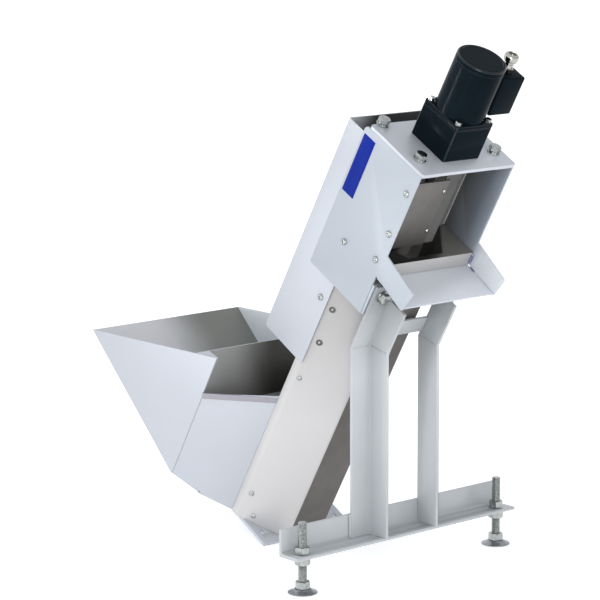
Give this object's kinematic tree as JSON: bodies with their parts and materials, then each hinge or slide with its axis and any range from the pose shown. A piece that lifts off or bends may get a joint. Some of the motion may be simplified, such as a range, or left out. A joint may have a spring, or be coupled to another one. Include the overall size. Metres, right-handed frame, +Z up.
{
  "type": "screw conveyor",
  "caption": "Steeply inclined screw conveyor with an open feed hopper, a closed trough, a discharge chute, a gear motor on top and a floor stand with levelling feet.",
  "frame": {"origin": "on the floor under the middle of the bounding box", "axes": "+X towards the discharge chute and the stand, +Y across the machine, +Z up"},
  "size_m": [0.912, 0.538, 0.9549],
  "materials": {
    "matt_stainless": "cold-rolled 2B stainless sheet, soft bluish",
    "stainless": "dull rolled stainless sheet",
    "grey_angle": "satin light grey paint",
    "motor_black": "glossy black enamel",
    "zinc": "bright zinc plating",
    "nickel": "nickel-plated brass"
  },
  "bodies": {
    "root": {"base_bar": "grey_angle", "cable_gland": "nickel", "chute_floor": "matt_stainless", "cross_bar": "grey_angle", "foot_disc_left": "zinc", "foot_disc_right": "zinc", "foot_nut_base_left": "zinc", "foot_nut_base_right": "zinc", "foot_nut_lower_left": "zinc", "foot_nut_lower_right": "zinc", "foot_nut_upper_left": "zinc", "foot_nut_upper_right": "zinc", "foot_stud_left": "zinc", "foot_stud_right": "zinc", "gearbox": "motor_black", "guard_plate": "stainless", "head_plate": "matt_stainless", "head_side_left": "matt_stainless", "head_side_right": "matt_stainless", "hood": "matt_stainless", "hopper_back": "matt_stainless", "hopper_bottom": "matt_stainless", "hopper_front_baffle": "matt_stainless", "hopper_gusset_left": "matt_stainless", "hopper_gusset_right": "matt_stainless", "hopper_side_left": "matt_stainless", "hopper_side_right": "matt_stainless", "hopper_slant_left": "matt_stainless", "hopper_slant_right": "matt_stainless", "leg_left": "grey_angle", "leg_right": "grey_angle", "motor_body": "motor_black", "motor_end_cap": "motor_black", "motor_flange": "motor_black", "screw_flight_lower": "stainless", "screw_flight_middle": "stainless", "screw_flight_upper": "stainless", "screw_shaft": "stainless", "shelf_plate": "stainless", "tail_bearing": "grey_angle", "tail_plate": "matt_stainless", "terminal_box": "motor_black", "trough": "stainless"}
  },
  "joints": []
}
